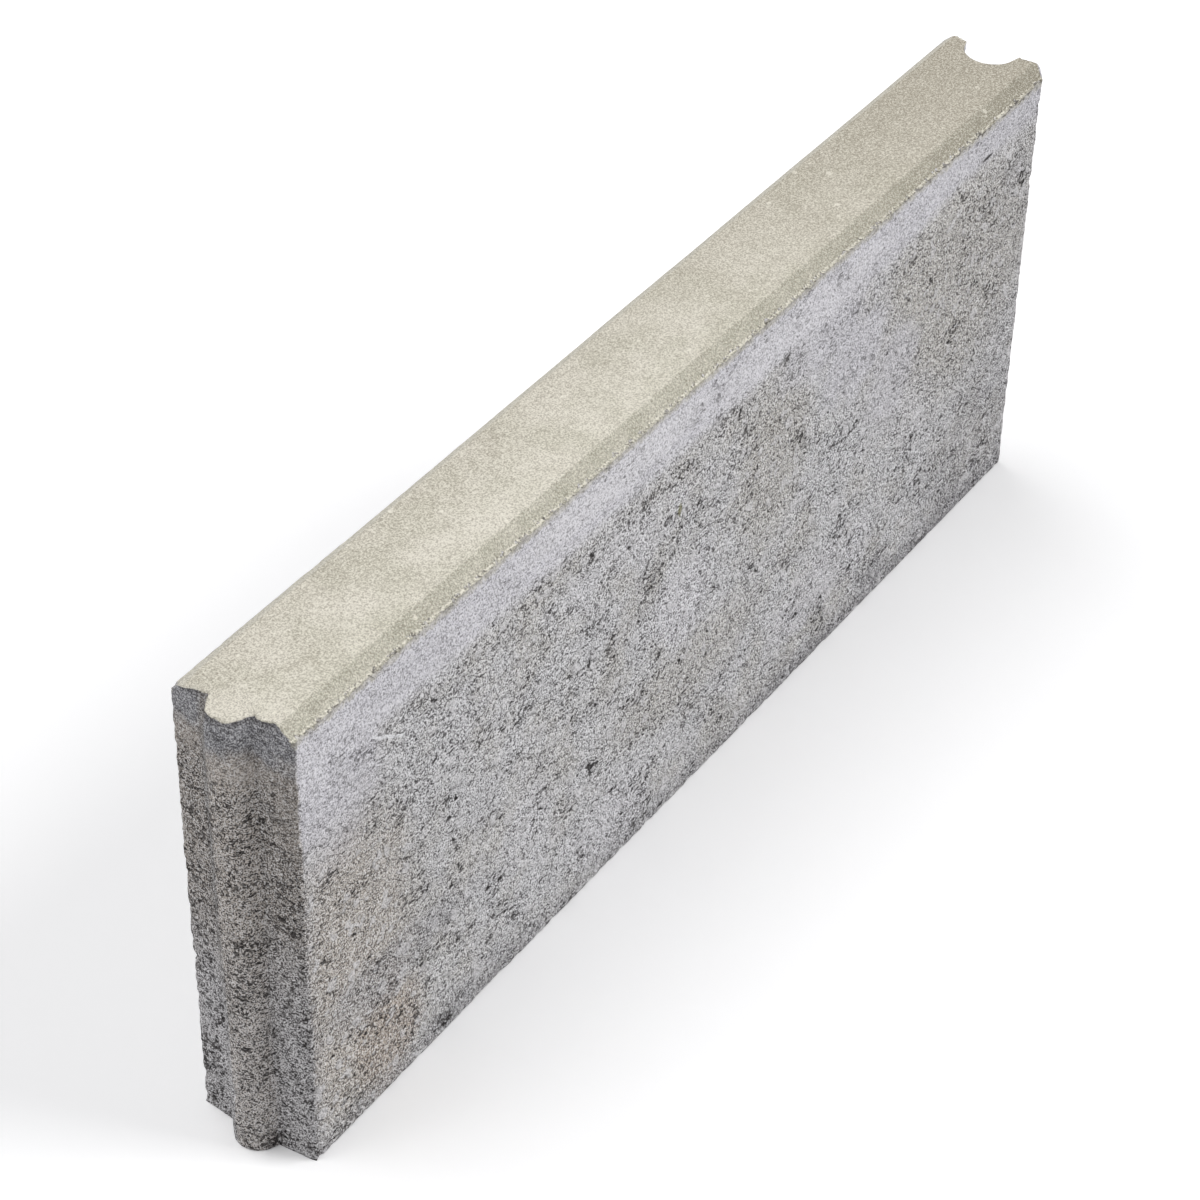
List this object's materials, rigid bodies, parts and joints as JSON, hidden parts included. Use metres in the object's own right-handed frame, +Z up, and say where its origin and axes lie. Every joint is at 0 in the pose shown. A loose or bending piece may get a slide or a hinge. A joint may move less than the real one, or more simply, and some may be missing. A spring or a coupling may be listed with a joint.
{
  "type": "concrete kerb stone",
  "caption": "Straight concrete kerb stone on its narrow edge, with chamfered top edges, a rounded tongue on one end and a matching groove in the other.",
  "frame": {"origin": "middle of the flat bed, halfway between the two end shoulders", "axes": "+X along the stone towards the grooved end, the tongue points along -X, -Y is the face shown in the picture, +Z is up from the bed to the chamfered top"},
  "size_m": [0.508, 0.05, 0.2],
  "materials": {
    "concrete": "rough semi-dry pressed concrete, porous grey with a pale band and a fine beige top"
  },
  "bodies": {
    "root": {"kerb_stone": "concrete"}
  },
  "joints": []
}
